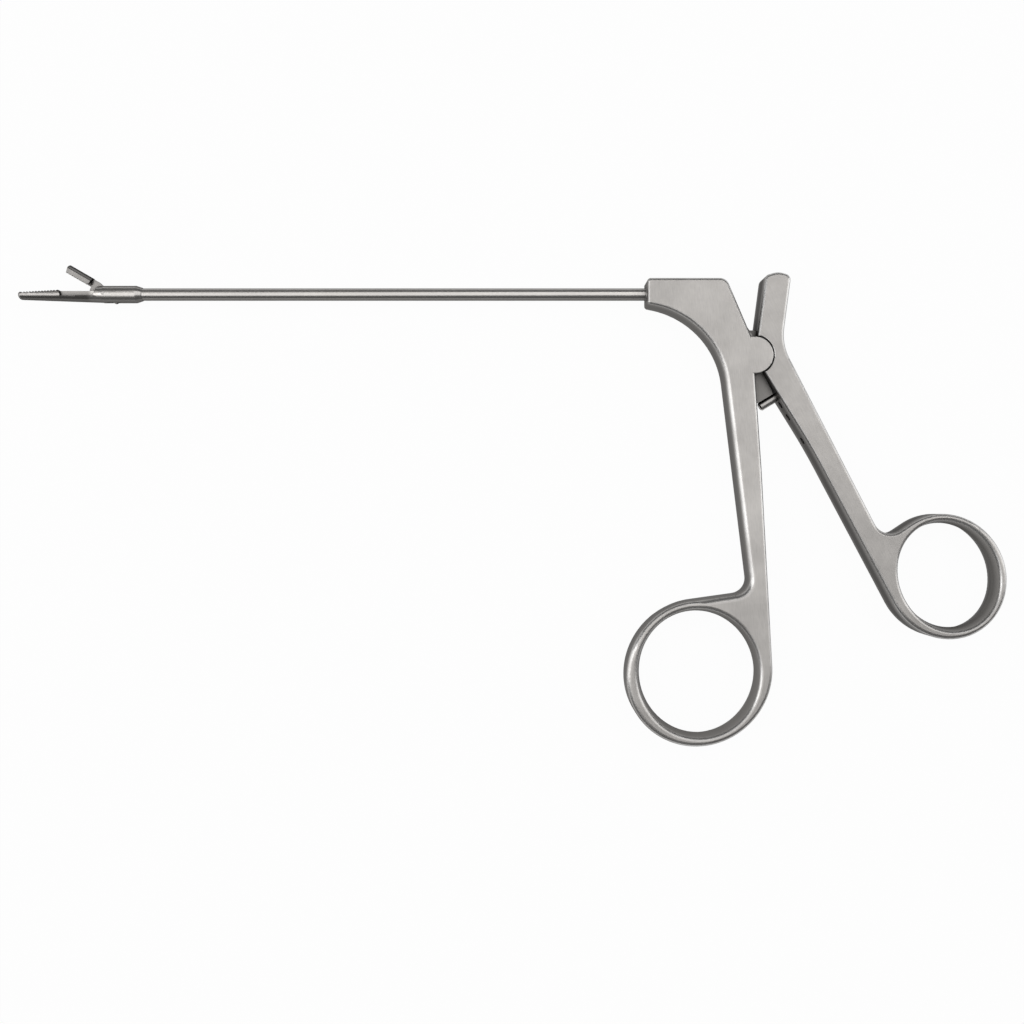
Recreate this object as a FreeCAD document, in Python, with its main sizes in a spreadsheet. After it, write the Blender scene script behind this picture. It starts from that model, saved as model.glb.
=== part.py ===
import FreeCAD, Part
import math
import os
import Sketcher
from types import SimpleNamespace
from FreeCAD import Placement, Rotation, Vector

# Hernia forceps with a tubular shaft, lying on its side, millimetres.
# The origin is on the handle hinge's axis, in the plane the forceps rests on.
# X runs along the shaft towards the handles, Y is up the handles' body, Z is the thickness.

doc = FreeCAD.newDocument("forceps")
sheet = doc.addObject("Spreadsheet::Sheet", "sizes")

# Driving sizes: name, value, what it is.
driving = [
    ("handle_thick", 8.0, "thickness of both handles"),
    ("axis_height", 14.9, "tube axis above the hinge"),
    ("body_reach", 25.3, "hinge to the body's front face"),
    ("body_above", 3.3, "tube axis to the body's top"),
    ("body_below", 2.9, "tube axis to the lower end of the front face"),
    ("throat_lead", 1.9, "straight part of the body's lower edge, before the sweep"),
    ("throat_slope", 12.0, "fall of the body's lower edge, degrees"),
    ("shank_front", 7.7, "hinge to the front edge of the shank, level with the hinge"),
    ("shank_lean", 7.0, "lean of the shank's front edge, degrees"),
    ("lobe_radius", 4.4, "hinge cheeks"),
    ("rear_slope", 23.0, "lean of the body's rear edge, degrees"),
    ("finger_ring_x", -13.25, "finger ring opening, centre along X"),
    ("finger_ring_y", -75.03, "finger ring opening, centre along Y"),
    ("finger_ring_long", 14.5, "finger ring opening, half length at its narrowest"),
    ("finger_ring_short", 13.7, "finger ring opening, half width at its narrowest"),
    ("finger_flare", 0.8, "how much wider that opening is at the faces, each side"),
    ("finger_rim_x", -13.1, "finger ring outside, centre along X"),
    ("finger_rim_y", -75.1, "finger ring outside, centre along Y"),
    ("finger_ring_tilt", -85.0, "direction of the longer half, degrees"),
    ("finger_rim_long", 17.7, "finger ring outside, half length"),
    ("finger_rim_short", 16.9, "finger ring outside, half width"),
    ("finger_rim_tilt", 45.0, "direction of the longer half of the outside, degrees"),
    ("thumb_ring_x", 45.7, "thumb ring opening, centre along X"),
    ("thumb_ring_y", -52.05, "thumb ring opening, centre along Y"),
    ("thumb_ring_long", 12.7, "thumb ring opening, half length at its narrowest"),
    ("thumb_ring_short", 11.1, "thumb ring opening, half width at its narrowest"),
    ("thumb_ring_tilt", -65.0, "direction of the longer half, degrees"),
    ("thumb_flare", 0.7, "how much wider that opening is at the faces, each side"),
    ("thumb_rim_tilt", -60.0, "direction of the longer half of the outside, degrees"),
    ("thumb_rim_long", 15.05, "thumb ring outside, half length"),
    ("thumb_rim_short", 14.05, "thumb ring outside, half width"),
    ("thumb_rim_x", 45.18, "thumb ring outside, centre along X"),
    ("thumb_rim_y", -52.28, "thumb ring outside, centre along Y"),
    ("ring_blend", 3.6, "corner between the shank and the finger ring"),
    ("ring_corner_y", -56.0, "height of that corner"),
    ("thumb_corner_y", -44.0, "height of the corner between thumb handle and ring"),
    ("thumb_blend", 4.2, "rounding of that corner"),
    ("edge_round", 0.8, "rounding of the body's edges"),
    ("finger_grip_round", 1.0, "rounding inside the finger ring"),
    ("thumb_grip_round", 0.8, "rounding inside the thumb ring"),
    ("shank_round", 1.6, "rounding of the shank's front edges"),
    ("finger_rim_round", 1.3, "rounding outside the finger ring"),
    ("rear_round", 0.8, "rounding of the shank's rear edges"),
    ("thumb_rim_round", 0.9, "rounding outside the thumb ring"),
    ("inner_round", 0.6, "rounding of the thumb handle's inner edges"),
    ("back_round", 0.8, "rounding of the thumb handle's rear edges"),
    ("joint_round", 0.25, "rounding of the edges at the hinge"),
    ("arm_rise", 19.25, "top of the upper arm above the hinge"),
    ("arm_crown", 0.45, "crown of the upper arm's top"),
    ("crown_radius", 4.5, "curve of that crown"),
    ("arm_width", 6.1, "width of the upper arm"),
    ("arm_lean", 7.5, "lean of the upper arm, degrees"),
    ("arm_foot", 0.6, "hinge to the upper arm's front edge, at the cheek"),
    ("shoulder_gap", 0.19, "gap between the cheeks and the concave shoulder"),
    ("tongue_thick", 3.0, "hinge tongue"),
    ("tongue_side_gap", 0.1, "gap on each side of the tongue"),
    ("hub_radius", 3.6, "tongue round the hinge pin"),
    ("hinge_pin_radius", 1.5, "hinge pin"),
    ("pin_clearance", 0.03, "radial running clearance of the pins"),
    ("crank_radius", 4.9, "hinge to crank pin"),
    ("crank_eye", 1.3, "radius of the crank's ear"),
    ("crank_pin_radius", 0.75, "crank pin"),
    ("swing", 21.0, "turn of the thumb handle from open to closed, degrees"),
    ("drawbar_thick", 1.0, "drawbar plate"),
    ("drawbar_slot", 1.4, "slot for the drawbar in the body"),
    ("drawbar_width", 1.9, "height of the drawbar at the rod"),
    ("drawbar_fit", 0.05, "side gap of the drawbar in its forks"),
    ("peg_radius", 1.05, "stop peg"),
    ("peg_length", 4.6, "stop peg outside the handle"),
    ("peg_seat", 2.5, "stop peg inside the handle"),
    ("peg_distance", 11.2, "hinge to the stop peg's foot"),
    ("tube_radius", 1.45, "outside of the shaft tube"),
    ("tube_bore", 1.05, "inside of the shaft tube"),
    ("tube_seat", 10.0, "length of the tube inside the body"),
    ("rod_radius", 0.7, "pull rod"),
    ("guide_clearance", 0.03, "radial clearance of the rod in its guides"),
    ("guide_length", 4.0, "length of each rod guide"),
    ("jaw_pivot_reach", 154.4, "hinge to the jaw's pin, along the tube"),
    ("housing_radius", 2.05, "jaw housing"),
    ("housing_back", 7.6, "jaw pin to the start of the rear cone"),
    ("cone_length", 1.3, "rear cone of the housing"),
    ("cone_end_radius", 1.62, "housing radius at the tube"),
    ("tube_socket", 2.4, "length of the tube inside the housing"),
    ("cheek_top", 1.5, "jaw pin to the front of the housing's top"),
    ("cheek_foot", 2.2, "jaw pin to the foot of the housing's sloping front"),
    ("jaw_reach", 20.6, "jaw pin to the tip of the lower jaw"),
    ("nose_radius", 1.25, "lower jaw near its tip"),
    ("nose_round", 1.0, "rounding of the tip"),
    ("neck_radius", 1.97, "lower jaw at the housing"),
    ("land_start", 10.75, "jaw pin to the rear of the toothed land"),
    ("land_back_lean", 0.45, "slant of the rear end of the land"),
    ("slot_top_turn", 25.0, "upper end of the slot's curved end wall, degrees"),
    ("rib_gap", 0.2, "gap between the ear's curved edge and the neck rib"),
    ("relief_drop", 1.5, "relief for the ear below the axis"),
    ("land_high", 0.92, "toothed land above the axis, at its rear"),
    ("land_low", 0.45, "toothed land above the axis, at the tip"),
    ("rib_top", 0.72, "neck rib above the axis"),
    ("rib_thick", 1.6, "neck rib"),
    ("ledge_drop", 0.45, "neck ledges below the axis"),
    ("tooth_pitch", 0.72, "lower jaw teeth"),
    ("tooth_depth", 0.27, "lower jaw teeth"),
    ("tooth_flat", 0.12, "flat crest of each tooth"),
    ("serration_pitch", 0.8, "grooves under the lower jaw"),
    ("serration_depth", 0.16, "grooves under the lower jaw"),
    ("serration_start", 19.6, "jaw pin to the first groove"),
    ("serration_end", 11.6, "jaw pin to the last groove"),
    ("upper_reach", 10.5, "jaw pin to the tip of the upper jaw"),
    ("upper_heel", 4.1, "jaw pin to the rear of the upper jaw's bar"),
    ("upper_top", 1.95, "upper jaw above the axis when closed"),
    ("upper_bite", -0.1, "upper jaw's tooth line above the axis when closed"),
    ("upper_width", 3.3, "upper jaw"),
    ("upper_pitch", 0.69, "upper jaw teeth"),
    ("upper_depth", 0.23, "upper jaw teeth"),
    ("rib_clearance", 0.18, "gap round the neck rib when closed"),
    ("jaw_swing", 30.0, "turn of the upper jaw from open to closed, degrees"),
    ("ear_thick", 1.0, "upper jaw's ear and tail"),
    ("ear_gap", 0.05, "gap on each side of the ear"),
    ("ear_radius", 1.3, "ear round the jaw pin"),
    ("ear_reach", 3.65, "jaw pin to the curved front edge of the ear"),
    ("ear_top_turn", 168.0, "upper end of that edge, degrees"),
    ("ear_low_turn", 197.0, "lower end of that edge, degrees"),
    ("ear_hook", 2.0, "jaw pin to the lowest point of the ear"),
    ("ear_hook_drop", 1.35, "lowest point of the ear below the axis"),
    ("jaw_pin_radius", 0.4, "jaw pin"),
    ("cam_pin_radius", 0.3, "cam pin"),
    ("cam_clearance", 0.03, "clearance of the cam pin in its slot"),
    ("cam_start", 1.25, "jaw pin to cam pin when open"),
    ("tail_wall", 0.35, "metal round the cam slot"),
    ("head_radius", 1.05, "rod head"),
    ("head_clearance", 0.05, "radial clearance of the rod head"),
    ("head_nose", 0.55, "rod head in front of the cam pin"),
    ("head_slot", 2.15, "rod head's slot behind the cam pin"),
    ("head_web", 1.5, "solid end of the rod head"),
    ("rod_socket", 1.2, "rod inside its head"),
    ("rod_end_length", 4.4, "rear fitting of the rod"),
    ("rod_end_reach", 9.0, "hinge to the rear of that fitting"),
    ("nut_length", 1.2, "lock nut on the rod"),
    ("rivet_radius", 0.35, "drawbar rivets"),
    ("lobe_top_angle", 100.0, "where the body's rear edge meets the cheek, degrees"),
    ("nose_corner", 0.8, "corners of the body's front face"),
    ("rear_corner", 2.4, "upper rear corner of the body"),
    ("shank_rear", 0.08, "hinge to the rear edge of the shank, at the cheek"),
    ("shank_bow_x", 1.65, "hinge to the rear edge of the shank, at its bow"),
    ("shank_bow_y", -27.0, "height of that bow"),
    ("shank_bow_radius", 150.0, "bow of the shank's rear edge"),
    ("arm_corner", 1.5, "corners of the upper arm's top"),
    ("waist_x", 6.5, "waist of the thumb handle's rear edge, along X"),
    ("waist_y", 2.6, "waist of the thumb handle's rear edge, along Y"),
    ("waist_radius", 12.0, "curve at the waist"),
    ("thumb_back_slope", 62.8, "fall of the thumb handle's rear edge, degrees"),
    ("inner_edge_angle", -61.0, "where the thumb handle's inner edge leaves the shoulder, degrees"),
    ("inner_bow_x", 13.3, "bow of the thumb handle's inner edge, along X"),
    ("inner_bow_y", -21.9, "bow of the thumb handle's inner edge, along Y"),
    ("inner_bow_radius", 160.0, "curve of that bow"),
    ("round_start", 0.5, "reach of the crisp edges round the hinge"),
    ("slot_clearance", 0.35, "room round the moving pieces in the body's slots"),
    ("slot_corner", 0.8, "corners of those slots"),
    ("slot_foot", 14.0, "hinge to the lower end of the tongue slot"),
    ("stop_depth", 2.84, "floor of the slot where the stop peg lands, in front of the hinge"),
    ("stop_top", 11.0, "hinge to the upper corner of the block that the stop peg meets"),
    ("web_swing", 0.7, "extra depth of the slot for the web"),
    ("web_reach", 11.12, "hinge to the hidden end of the web's foot"),
    ("web_back", 0.4, "hidden edge of the web in front of the hinge"),
    ("web_tip_x", 4.77, "lower rear corner of the web, along X"),
    ("web_tip_y", 8.99, "lower rear corner of the web, along Y"),
    ("web_foot_x", 1.35, "where the web's foot leaves the peg, along X"),
    ("web_corner", 0.3, "corners of the web"),
    ("tongue_root", 0.8, "depth of the tongue inside the thumb handle"),
    ("peg_chamfer", 0.3, "chamfer on the peg's end"),
    ("spare_hole_radius", 0.9, "spare peg holes"),
    ("spare_hole_depth", 2.6, "spare peg holes"),
    ("spare_step_1", 2.2, "stop peg to the first spare hole"),
    ("spare_step_2", 5.6, "stop peg to the second"),
    ("spare_step_3", 12.2, "stop peg to the third"),
    ("mouth_width", 0.45, "countersink round the tube"),
    ("cheek_step", 0.2, "step between lower jaw and housing, in front of the pin"),
    ("cone_corner", 0.8, "round start of the rear cone"),
    ("nose_flat", 0.9, "smooth nose in front of the teeth"),
    ("nose_height", 0.8, "height of the nose's rounded upper half"),
    ("nose_top_round", 0.68, "rounding of that half"),
    ("nose_skim", 0.03, "metal dressed off the very tip"),
    ("window_start", 0.6, "front end of the tail's window"),
    ("window_end", 3.6, "rear end of the tail's window"),
    ("upper_lean", 0.45, "slant of the upper jaw's tip"),
    ("upper_tip_round", 0.5, "round corner of the upper jaw's tip"),
    ("heel_round", 0.5, "chamfer under the upper jaw's heel"),
    ("ear_root", 0.6, "ear inside the bar"),
    ("ear_shoulder", 2.6, "jaw pin to the bend of the ear's top"),
    ("ear_top_drop", 0.1, "ear below the top of the bar"),
    ("drawbar_knee", 7.8, "hinge to the bend of the drawbar"),
    ("drawbar_corner", 0.3, "corners of the drawbar's front end"),
    ("drawbar_bend", 1.0, "rounding under the drawbar's bend"),
    ("drawbar_shoulder", 1.2, "rounding over the drawbar's bend"),
    ("rivet_margin", 0.6, "rivets to the ends of their overlap"),
    ("drawbar_grip", 3.0, "drawbar inside the rod's fitting"),
    ("crank_play", 0.08, "radial play of the drawbar on the crank pin"),
    ("crank_lift", 0.04, "drawbar hole above the crank pin, half of the pin's rise"),
    ("rod_end_socket", 1.2, "rod inside its rear fitting"),
]
d = SimpleNamespace(**{name: value for name, value, note in driving})
for row, (name, value, note) in enumerate(driving, start=1):
    sheet.set("A%d" % row, name)
    sheet.set("B%d" % row, repr(value))
    sheet.set("C%d" % row, note)
    sheet.setAlias("B%d" % row, name)
doc.recompute()


def turned(point, degrees):
    # A point turned about the origin, counterclockwise.
    a = math.radians(degrees)
    x, y = point
    return (x * math.cos(a) - y * math.sin(a), x * math.sin(a) + y * math.cos(a))


def along(point, degrees, distance):
    # The point at a distance from another, in a direction.
    a = math.radians(degrees)
    return (point[0] + distance * math.cos(a), point[1] + distance * math.sin(a))


def meeting(p, p_dir, q, q_dir):
    # Where the line through p meets the line through q, directions in degrees.
    ax, ay = math.cos(math.radians(p_dir)), math.sin(math.radians(p_dir))
    bx, by = math.cos(math.radians(q_dir)), math.sin(math.radians(q_dir))
    run = ((q[0] - p[0]) * by - (q[1] - p[1]) * bx) / (ax * by - ay * bx)
    return (p[0] + run * ax, p[1] + run * ay)


def tangent_from(point, centre, long_half, short_half, tilt, side):
    # Where a straight edge from the point touches an oval; side picks one of the two edges.
    x, y = turned((point[0] - centre[0], point[1] - centre[1]), -tilt)
    u, v = x / long_half, y / short_half
    reach = math.hypot(u, v)
    a = math.atan2(v, u) + side * math.acos(1.0 / reach)
    x, y = turned((long_half * math.cos(a), short_half * math.sin(a)), tilt)
    return (x + centre[0], y + centre[1])


def rounded(corners):
    # Lines and tangent arcs of a closed outline; each corner is x, y, radius.
    starts, ends, arcs = [], [], []
    count = len(corners)
    for i in range(count):
        x, y, radius = corners[i]
        here = Vector(x, y, 0)
        before = Vector(corners[i - 1][0], corners[i - 1][1], 0) - here
        after = Vector(corners[(i + 1) % count][0], corners[(i + 1) % count][1], 0) - here
        before.normalize()
        after.normalize()
        half = before.getAngle(after) / 2
        if radius <= 0:
            starts.append(here)
            ends.append(here)
            arcs.append(None)
            continue
        cut = radius / math.tan(half)
        first, last = here + before * cut, here + after * cut
        middle = (before + after).normalize() * (radius / math.sin(half) - radius)
        starts.append(first)
        ends.append(last)
        arcs.append(Part.Arc(first, here + middle, last))
    curves = []
    for i in range(count):
        if arcs[i]:
            curves.append(arcs[i])
        nxt = starts[(i + 1) % count]
        if (nxt - ends[i]).Length > 1e-6:
            curves.append(Part.LineSegment(ends[i], nxt))
    return curves


def circle(x, y, radius):
    return [Part.Circle(Vector(x, y, 0), Vector(0, 0, 1), radius)]


def oval(centre, long_half, short_half, tilt):
    # A full ellipse whose longer half points along the tilt.
    tip = along(centre, tilt, long_half)
    side = along(centre, tilt + 90, short_half)
    return [Part.Ellipse(Vector(tip[0], tip[1], 0), Vector(side[0], side[1], 0),
                         Vector(centre[0], centre[1], 0))]


def new_body(name):
    return doc.addObject("PartDesign::Body", name)


def sketch(body, name, plane, curves, lift=0.0):
    # A sketch on one of the body's own origin planes.
    result = body.newObject("Sketcher::SketchObject", name)
    support = [f for f in body.Origin.OriginFeatures if f.Role == plane][0]
    result.AttachmentSupport = [(support, "")]
    result.MapMode = "FlatFace"
    if lift:
        result.AttachmentOffset = Placement(Vector(0, 0, lift), Rotation())
    result.addGeometry(curves, False)
    return result


def hole_size(drawing, index, label, expression):
    # Ties the radius of a circle in a sketch to the sheet.
    number = drawing.addConstraint(Sketcher.Constraint("Radius", index, drawing.Geometry[index].Radius))
    drawing.renameConstraint(number, label)
    drawing.setExpression("Constraints." + label, expression)


def pad(body, drawing, name, length, both=True, backwards=False):
    feature = body.newObject("PartDesign::Pad", name)
    feature.Profile = drawing
    feature.SideType = "Symmetric" if both else "One side"
    feature.Reversed = backwards
    feature.setExpression("Length", length)
    return feature


def pocket(body, drawing, name, length, both=True, backwards=False):
    feature = body.newObject("PartDesign::Pocket", name)
    feature.Profile = drawing
    feature.SideType = "Symmetric" if both else "One side"
    feature.Reversed = backwards
    feature.setExpression("Length", length)
    return feature


def revolve(body, drawing, name, axis):
    feature = body.newObject("PartDesign::Revolution", name)
    feature.Profile = drawing
    feature.ReferenceAxis = ([f for f in body.Origin.OriginFeatures if f.Role == axis][0], [""])
    feature.Angle = 360.0
    return feature


def prism(name, curves, thickness):
    # A body with one sketch padded evenly to both sides of the middle plane.
    body = new_body(name)
    drawing = sketch(body, name + "_outline", "XY_Plane", curves)
    pad(body, drawing, name + "_pad", thickness)
    return body


def join(name, parts):
    fused = doc.addObject("Part::MultiFuse", name)
    fused.Shapes = parts
    fused.Refine = True
    return fused


def cut(name, base, tools):
    result = doc.addObject("Part::Cut", name)
    result.Base = base
    result.Tool = tools[0] if len(tools) == 1 else join(name + "_tools", tools)
    result.Refine = True
    return result


def cross_hole(name, radius, x, y):
    # A hole tool right across the thickness.
    tool = doc.addObject("Part::Cylinder", name)
    tool.setExpression("Radius", radius)
    tool.setExpression("Height", "2 * sizes.handle_thick")
    tool.setExpression("Placement.Base.x", x)
    tool.setExpression("Placement.Base.y", y)
    tool.setExpression("Placement.Base.z", "-sizes.handle_thick")
    return tool


def shaft_piece(name, radius, length, start, y="sizes.axis_height"):
    # A round piece along X in the middle plane.
    piece = doc.addObject("Part::Cylinder", name)
    piece.setExpression("Radius", radius)
    piece.setExpression("Height", length)
    piece.Placement = Placement(Vector(0, 0, 0), Rotation(Vector(0, 1, 0), 90))
    piece.setExpression("Placement.Base.x", start)
    piece.setExpression("Placement.Base.y", y)
    return piece


def finish(node, label, x="0", y="0", turn=0.0):
    # Gives a sub-part its name and its place above the resting plane.
    node.Label = label
    node.Placement = Placement(Vector(0, 0, 0), Rotation(Vector(0, 0, 1), turn))
    node.setExpression("Placement.Base.x", x)
    node.setExpression("Placement.Base.y", y)
    node.setExpression("Placement.Base.z", "sizes.handle_thick / 2")
    nodes.append(node)
    return node


def face_edges(base):
    # The edges of a handle's front and back faces, each with its number, its ends and whether it closes.
    doc.recompute()
    found = []
    for number, edge in enumerate(base.Shape.Edges, start=1):
        middle = edge.valueAt((edge.FirstParameter + edge.LastParameter) / 2)
        ends = [edge.valueAt(edge.FirstParameter), edge.valueAt(edge.LastParameter)]
        if all(abs(abs(p.z) - d.handle_thick / 2) < 1e-4 for p in ends + [middle]):
            closed = ends[0].distanceToPoint(ends[1]) < 1e-6
            found.append((number, ends, edge.Length if closed else 0.0))
    return found


def rounded_on(name, base, rims):
    result = doc.addObject("Part::Fillet", name)
    result.Base = base
    result.Edges = rims
    return result


def round_outline(name, base, size_at):
    # Rounds a handle's outline by the size asked for at each point.
    # An edge that leaves the hinge keeps the size of its far end.
    rims = []
    for number, ends, closed_length in face_edges(base):
        if not closed_length:
            far = [size_at(p) for p in ends if not at_hinge(p)] or [d.joint_round]
            rims.append((number, far[0], far[-1]))
    return rounded_on(name, base, rims)


def round_opening(name, base, size):
    # Rounds the edges inside the ring.
    rims = [(number, size, size) for number, ends, closed_length in face_edges(base)
            if closed_length > 2 * math.pi * d.lobe_radius]
    return rounded_on(name, base, rims)


def at_hinge(point):
    return math.hypot(point.x, point.y) < d.lobe_radius + d.shoulder_gap + d.round_start


def fixed_size(point):
    # Rounding of the fixed handle's edges: crisp at the hinge, full down the shank's front.
    shank_middle = -d.shank_front / 2 - point.y * math.tan(math.radians(d.shank_lean))
    if at_hinge(point):
        return d.joint_round
    if point.y > 0:
        return d.edge_round
    if point.y < d.ring_corner_y - d.ring_blend:
        return d.rear_round if point.x > 0 else d.finger_rim_round
    return d.shank_round if point.x < shank_middle else d.rear_round


def thumb_size(point):
    # Rounding of the thumb handle's edges.
    if at_hinge(point):
        return d.joint_round
    if math.hypot(point.x - d.thumb_rim_x, point.y - d.thumb_rim_y) < d.thumb_rim_long + 0.5:
        return d.thumb_rim_round
    back = d.waist_x + (d.waist_y - point.y) / math.tan(math.radians(d.thumb_back_slope))
    if point.y > d.arm_rise / 2:
        return d.edge_round
    return d.back_round if point.x > back - d.arm_width / 2 else d.inner_round


def handle_blank(name, corners, rim):
    # Body, shank and ring of one handle, still solid and with sharp edges.
    body = new_body(name)
    outline = sketch(body, name + "_outline", "XY_Plane", rounded(corners))
    pad(body, outline, name + "_pad", "sizes.handle_thick")
    pad(body, sketch(body, name + "_rim", "XY_Plane", oval(*rim)), name + "_rim_pad", "sizes.handle_thick")
    return body


def oval_wire(name, opening, wider, lift):
    # An ellipse at a height, wider all round than the opening by the amount given.
    centre, long_half, short_half, tilt = opening
    wire = doc.addObject("Part::Ellipse", name)
    wire.MajorRadius = long_half + wider
    wire.MinorRadius = short_half + wider
    wire.Placement = Placement(Vector(centre[0], centre[1], lift), Rotation(Vector(0, 0, 1), tilt))
    return wire


def flared_opening(name, opening, flare):
    # Two flared halves that meet where the ring's opening is narrowest, in the middle plane.
    halves = []
    for mark, side in (("near", 1.1), ("far", -1.1)):
        waist = oval_wire("%s_%s_waist" % (name, mark), opening, 0.0, 0.0)
        mouth = oval_wire("%s_%s_mouth" % (name, mark), opening, flare * abs(side), side * d.handle_thick / 2)
        half = doc.addObject("Part::Loft", "%s_%s" % (name, mark))
        half.Sections = [waist, mouth]
        half.Solid = True
        half.Ruled = True
        halves.append(half)
    return halves


nodes = []
rest_crank = 90.0 + d.swing / 2
crank_x, crank_y = along((0, 0), rest_crank, d.crank_radius)
travel = 2 * d.crank_radius * math.sin(math.radians(d.swing / 2))
slot_thick = "(sizes.tongue_thick + 2 * sizes.tongue_side_gap)"
body_top = d.axis_height + d.body_above
shank_foot_y = -math.sqrt(d.lobe_radius ** 2 - d.shank_rear ** 2)
bore_radius = d.head_radius + d.head_clearance


def make_fixed_handle():
    opening = ((d.finger_ring_x, d.finger_ring_y), d.finger_ring_long, d.finger_ring_short, d.finger_ring_tilt)
    rim = ((d.finger_rim_x, d.finger_rim_y), d.finger_rim_long, d.finger_rim_short, d.finger_rim_tilt)
    front_low = (-d.body_reach, d.axis_height - d.body_below)
    down = -90 + d.shank_lean
    throat = meeting(front_low, -d.throat_slope, (-d.shank_front, 0.0), down)
    turn = 90 - d.shank_lean - d.throat_slope
    sweep = math.hypot(throat[0] - front_low[0], throat[1] - front_low[1]) - d.throat_lead
    corner = meeting(throat, down, (0, d.ring_corner_y), 0)
    touch_front = tangent_from(corner, *rim, 1)
    bow = (d.shank_bow_x, d.shank_bow_y)
    touch_rear = tangent_from(bow, *rim, -1)
    lobe_top = along((0, 0), d.lobe_top_angle, d.lobe_radius)
    rear_top = meeting(lobe_top, 90 + d.rear_slope, (0, body_top), 180)
    corners = [
        (-d.body_reach, body_top, d.nose_corner),
        (front_low[0], front_low[1], d.nose_corner),
        (throat[0], throat[1], sweep / math.tan(math.radians(turn / 2))),
        (corner[0], corner[1], d.ring_blend),
        (touch_front[0], touch_front[1], 0),
        (touch_rear[0], touch_rear[1], 0),
        (bow[0], bow[1], d.shank_bow_radius),
        (d.shank_rear, shank_foot_y, 0),
        (0, 0, 0),
        (lobe_top[0], lobe_top[1], 0),
        (rear_top[0], rear_top[1], d.rear_corner),
    ]
    blank = handle_blank("fixed_blank", corners, rim)
    lobe = sketch(blank, "lobe_outline", "XY_Plane", circle(0, 0, d.lobe_radius))
    hole_size(lobe, 0, "lobe", "sizes.lobe_radius")
    pad(blank, lobe, "lobe_pad", "sizes.handle_thick")
    outside = round_outline("fixed_rounded", blank, fixed_size)
    opened = cut("fixed_opened", outside, flared_opening("finger_opening", opening, d.finger_flare))
    smooth = round_opening("fixed_smooth", opened, d.finger_grip_round)
    # Slot for the tongue: clear of the hub, the crank's ear and the web over the whole swing.
    ear_sweep = d.crank_radius + d.crank_eye + d.slot_clearance
    hub_room = d.hub_radius + d.slot_clearance
    tongue_slot = prism("tongue_slot", rounded([
        (d.lobe_radius + 1, ear_sweep, 0),
        (crank_x - d.crank_eye - d.slot_clearance, ear_sweep, d.slot_corner),
        (crank_x - d.crank_eye - d.slot_clearance, hub_room, 0),
        (-hub_room, hub_room * 0.5, 0),
        (-hub_room - d.web_swing, -hub_room, d.slot_corner),
        (-hub_room - d.web_swing, -d.web_reach, 0),
        (-d.stop_depth, -d.stop_top, 0),
        (-d.stop_depth, -d.slot_foot, d.slot_corner),
        (d.lobe_radius + 1, -d.slot_foot, 0),
    ]), slot_thick)
    room = d.slot_clearance
    drawbar_slot = prism("drawbar_slot", rounded([
        (-d.rod_end_reach - d.rod_end_length - room, d.axis_height + d.drawbar_width / 2 + room, 0),
        (-d.rod_end_reach - d.rod_end_length - room, d.axis_height - d.drawbar_width / 2 - room, 0),
        (-d.drawbar_knee - d.drawbar_width - room, d.axis_height - d.drawbar_width / 2 - room, d.slot_corner),
        (crank_x - d.crank_eye - 2 * room, crank_y - d.crank_eye, 0),
        (d.lobe_radius, crank_y - d.crank_eye, 0),
        (d.lobe_radius, d.axis_height + d.drawbar_width / 2 + room, 0),
    ]), "sizes.drawbar_slot")
    seat = shaft_piece("tube_seat_bore", "sizes.tube_radius", "sizes.tube_seat", "-sizes.body_reach")
    rod_bore = shaft_piece("rod_bore", "sizes.head_radius + sizes.head_clearance",
                           "sizes.body_reach - sizes.rod_end_reach + %s" % (travel + room),
                           "-sizes.body_reach")
    mouth = doc.addObject("Part::Cone", "tube_mouth")
    mouth.setExpression("Radius1", "sizes.tube_radius + sizes.mouth_width")
    mouth.setExpression("Radius2", "sizes.tube_radius")
    mouth.setExpression("Height", "sizes.mouth_width")
    mouth.Placement = Placement(Vector(-d.body_reach, d.axis_height, 0), Rotation(Vector(0, 1, 0), 90))
    hinge_hole = cross_hole("fixed_hinge_hole", "sizes.hinge_pin_radius", "0", "0")
    handle = cut("fixed_cut", smooth, [tongue_slot, drawbar_slot, seat, rod_bore, mouth, hinge_hole])
    return finish(handle, "fixed_handle")


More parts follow.
